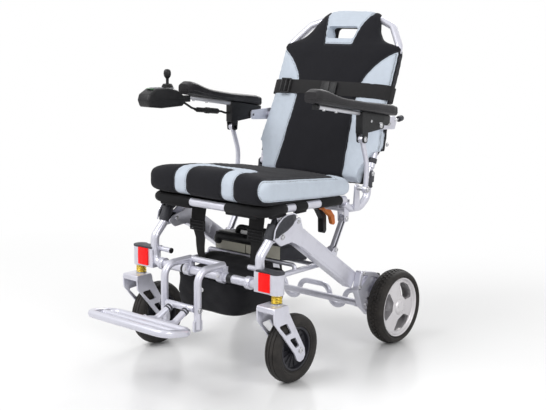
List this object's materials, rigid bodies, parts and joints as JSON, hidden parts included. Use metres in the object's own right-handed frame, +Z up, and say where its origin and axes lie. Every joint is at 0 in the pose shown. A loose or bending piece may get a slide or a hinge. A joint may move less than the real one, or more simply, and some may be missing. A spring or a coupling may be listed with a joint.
{
  "type": "folding power wheelchair",
  "caption": "Folding power wheelchair with hub-motor rear wheels, sprung front casters, padded seat and back, joystick armrest, battery tray and fold-down footplate.",
  "frame": {"origin": "on the floor, under the middle of the chair's bounding box", "axes": "+Z up, the sitter faces -Y, +X is the sitter's left"},
  "size_m": [0.579, 0.9733, 0.9514],
  "materials": {
    "silver_paint": "silver powder coat",
    "cast_aluminium": "painted casting",
    "dark_moulding": "fine grain",
    "black_plastic": "satin",
    "tyre_rubber": "matt",
    "soft_rubber": "matt",
    "gold_spring": "gold finish",
    "red_reflector": "prismatic",
    "orange_lever": "moulded",
    "battery_cream": "moulded",
    "black_fabric": "ribbed mesh",
    "grey_fabric": "spacer mesh",
    "webbing": "woven"
  },
  "bodies": {
    "rear_frame": {"rear_arm_left": "silver_paint", "rear_arm_right": "silver_paint", "knee_cover_left": "dark_moulding", "knee_cover_right": "dark_moulding", "motor_bracket_left": "cast_aluminium", "motor_bracket_right": "cast_aluminium", "hub_motor_left": "cast_aluminium", "hub_motor_right": "cast_aluminium", "rear_cross_tube": "silver_paint"},
    "front_frame": {"front_hoop": "silver_paint", "footrest_hanger": "silver_paint", "knee_knuckle_left": "dark_moulding", "knee_knuckle_right": "dark_moulding", "caster_housing_left": "cast_aluminium", "caster_housing_right": "cast_aluminium", "reflector_left": "red_reflector", "reflector_right": "red_reflector"},
    "footrest": {"footplate": "silver_paint"},
    "tray": {"tray_frame": "silver_paint", "battery_pack": "battery_cream", "storage_bag": "black_fabric"},
    "seat": {"seat_frame": "silver_paint", "seat_sling": "black_fabric", "seat_cushion": "black_fabric"},
    "seat_links": {"seat_link_left": "dark_moulding", "seat_link_right": "dark_moulding"},
    "fold_lock": {"fold_lock_handle": "black_plastic"},
    "fold_release": {"fold_release_lever": "orange_lever"},
    "back": {"back_frame": "silver_paint", "back_cushion": "grey_fabric", "chest_belt": "webbing"},
    "stick_gimbal": {"joystick_boot": "soft_rubber"},
    "stick": {"joystick": "black_plastic"},
    "power_key": {"power_button": "dark_moulding"},
    "rear_wheel_left": {"rear_tyre_left": "tyre_rubber", "rear_rim_left": "cast_aluminium"},
    "freewheel_left": {"freewheel_lever_left": "black_plastic"},
    "suspension_left": {"suspension_stem_left": "cast_aluminium", "caster_spring_left": "gold_spring"},
    "caster_left": {"caster_fork_left": "cast_aluminium"},
    "caster_wheel_left": {"caster_tyre_left": "tyre_rubber", "caster_rim_left": "dark_moulding"},
    "armrest_left": {"armrest_bracket_left": "black_plastic", "armrest_pad_left": "black_plastic"},
    "arm_support_left": {"armrest_support_left": "silver_paint"},
    "rear_wheel_right": {"rear_tyre_right": "tyre_rubber", "rear_rim_right": "cast_aluminium"},
    "freewheel_right": {"freewheel_lever_right": "black_plastic"},
    "suspension_right": {"suspension_stem_right": "cast_aluminium", "caster_spring_right": "gold_spring"},
    "caster_right": {"caster_fork_right": "cast_aluminium"},
    "caster_wheel_right": {"caster_tyre_right": "tyre_rubber", "caster_rim_right": "dark_moulding"},
    "armrest_right": {"armrest_bracket_right": "black_plastic", "armrest_pad_right": "black_plastic", "controller_case": "black_plastic", "controller_cable": "soft_rubber"},
    "arm_support_right": {"armrest_support_right": "silver_paint"}
  },
  "joints": [
    {"name": "frame_fold", "type": "hinge", "parent": "rear_frame", "child": "front_frame", "pos_m": [0, -0.1257, 0.374], "axis": [1, 0, 0], "range_deg": [0, 30]},
    {"name": "seat_tilt", "type": "hinge", "parent": "front_frame", "child": "seat", "pos_m": [0, -0.1257, 0.42], "axis": [1, 0, 0], "range_deg": [-27.5, 0]},
    {"name": "tray_level", "type": "hinge", "parent": "front_frame", "child": "tray", "pos_m": [0, -0.1917, 0.258], "axis": [1, 0, 0], "range_deg": [-27.5, 0]},
    {"name": "seat_link_turn", "type": "hinge", "parent": "rear_frame", "child": "seat_links", "pos_m": [0, 0.1163, 0.3], "axis": [1, 0, 0], "range_deg": [0, 15]},
    {"name": "back_fold", "type": "hinge", "parent": "seat", "child": "back", "pos_m": [0, 0.2759, 0.495], "axis": [1, 0, 0], "range_deg": [0, 80]},
    {"name": "fold_lock_pull", "type": "hinge", "parent": "seat", "child": "fold_lock", "pos_m": [0.1, 0.1603, 0.408], "axis": [1, 0, 0], "range_deg": [0, 30], "stiffness_Nm_per_rad": 1.5},
    {"name": "fold_release_press", "type": "hinge", "parent": "seat", "child": "fold_release", "pos_m": [0.124, 0.1603, 0.408], "axis": [1, 0, 0], "range_deg": [0, 25], "stiffness_Nm_per_rad": 1},
    {"name": "footplate_flip", "type": "hinge", "parent": "front_frame", "child": "footrest", "pos_m": [0, -0.2837, 0.187], "axis": [-1, 0, 0], "range_deg": [0, 85]},
    {"name": "rear_wheel_left_spin", "type": "hinge", "parent": "rear_frame", "child": "rear_wheel_left", "pos_m": [0.262, 0.3243, 0.108], "axis": [1, 0, 0], "continuous": true},
    {"name": "freewheel_left_turn", "type": "hinge", "parent": "rear_frame", "child": "freewheel_left", "pos_m": [0.19, 0.3203, 0.158], "axis": [1, 0, 0], "range_deg": [0, 35]},
    {"name": "suspension_left_travel", "type": "slide", "parent": "front_frame", "child": "suspension_left", "axis": [0, 0, 1], "range_m": [0, 0.01], "stiffness_N_per_m": 9000, "springref_m": -0.02, "deforming": ["caster_spring_left"]},
    {"name": "caster_left_swivel", "type": "hinge", "parent": "suspension_left", "child": "caster_left", "pos_m": [0.246, -0.1917, 0.219], "axis": [0, 0, 1], "continuous": true},
    {"name": "caster_wheel_left_spin", "type": "hinge", "parent": "caster_left", "child": "caster_wheel_left", "pos_m": [0.246, -0.1297, 0.09], "axis": [1, 0, 0], "continuous": true},
    {"name": "armrest_left_turn", "type": "hinge", "parent": "back", "child": "armrest_left", "pos_m": [0.237, 0.2529, 0.636], "axis": [1, 0, 0], "range_deg": [-80, 0]},
    {"name": "arm_support_left_turn", "type": "hinge", "parent": "seat", "child": "arm_support_left", "pos_m": [0.237, 0.2003, 0.462], "axis": [1, 0, 0], "range_deg": [0, 80]},
    {"name": "rear_wheel_right_spin", "type": "hinge", "parent": "rear_frame", "child": "rear_wheel_right", "pos_m": [-0.262, 0.3243, 0.108], "axis": [1, 0, 0], "continuous": true},
    {"name": "freewheel_right_turn", "type": "hinge", "parent": "rear_frame", "child": "freewheel_right", "pos_m": [-0.19, 0.3203, 0.158], "axis": [1, 0, 0], "range_deg": [0, 35]},
    {"name": "suspension_right_travel", "type": "slide", "parent": "front_frame", "child": "suspension_right", "axis": [0, 0, 1], "range_m": [0, 0.01], "stiffness_N_per_m": 9000, "springref_m": -0.02, "deforming": ["caster_spring_right"]},
    {"name": "caster_right_swivel", "type": "hinge", "parent": "suspension_right", "child": "caster_right", "pos_m": [-0.246, -0.1917, 0.219], "axis": [0, 0, 1], "continuous": true},
    {"name": "caster_wheel_right_spin", "type": "hinge", "parent": "caster_right", "child": "caster_wheel_right", "pos_m": [-0.246, -0.1297, 0.09], "axis": [1, 0, 0], "continuous": true},
    {"name": "armrest_right_turn", "type": "hinge", "parent": "back", "child": "armrest_right", "pos_m": [-0.237, 0.2529, 0.636], "axis": [1, 0, 0], "range_deg": [-80, 0]},
    {"name": "arm_support_right_turn", "type": "hinge", "parent": "seat", "child": "arm_support_right", "pos_m": [-0.237, 0.2003, 0.462], "axis": [1, 0, 0], "range_deg": [0, 80]},
    {"name": "stick_fore_aft", "type": "hinge", "parent": "armrest_right", "child": "stick_gimbal", "pos_m": [-0.24, -0.0907, 0.7295], "axis": [1, 0, 0], "range_deg": [-18, 18], "stiffness_Nm_per_rad": 0.15},
    {"name": "stick_side", "type": "hinge", "parent": "stick_gimbal", "child": "stick", "pos_m": [-0.24, -0.0907, 0.7295], "axis": [0, 1, 0], "range_deg": [-18, 18], "stiffness_Nm_per_rad": 0.15},
    {"name": "power_key_press", "type": "slide", "parent": "armrest_right", "child": "power_key", "axis": [0, 0, -1], "range_m": [0, 0.0018], "stiffness_N_per_m": 300, "springref_m": -0.002}
  ],
  "couplings": [
    {"joint": "seat_tilt", "follows": "frame_fold", "ratio": -0.8991},
    {"joint": "tray_level", "follows": "frame_fold", "ratio": -0.8991},
    {"joint": "seat_link_turn", "follows": "frame_fold", "ratio": 0.4783},
    {"joint": "armrest_left_turn", "follows": "back_fold", "ratio": -1},
    {"joint": "arm_support_left_turn", "follows": "back_fold", "ratio": 1},
    {"joint": "armrest_right_turn", "follows": "back_fold", "ratio": -1},
    {"joint": "arm_support_right_turn", "follows": "back_fold", "ratio": 1}
  ]
}
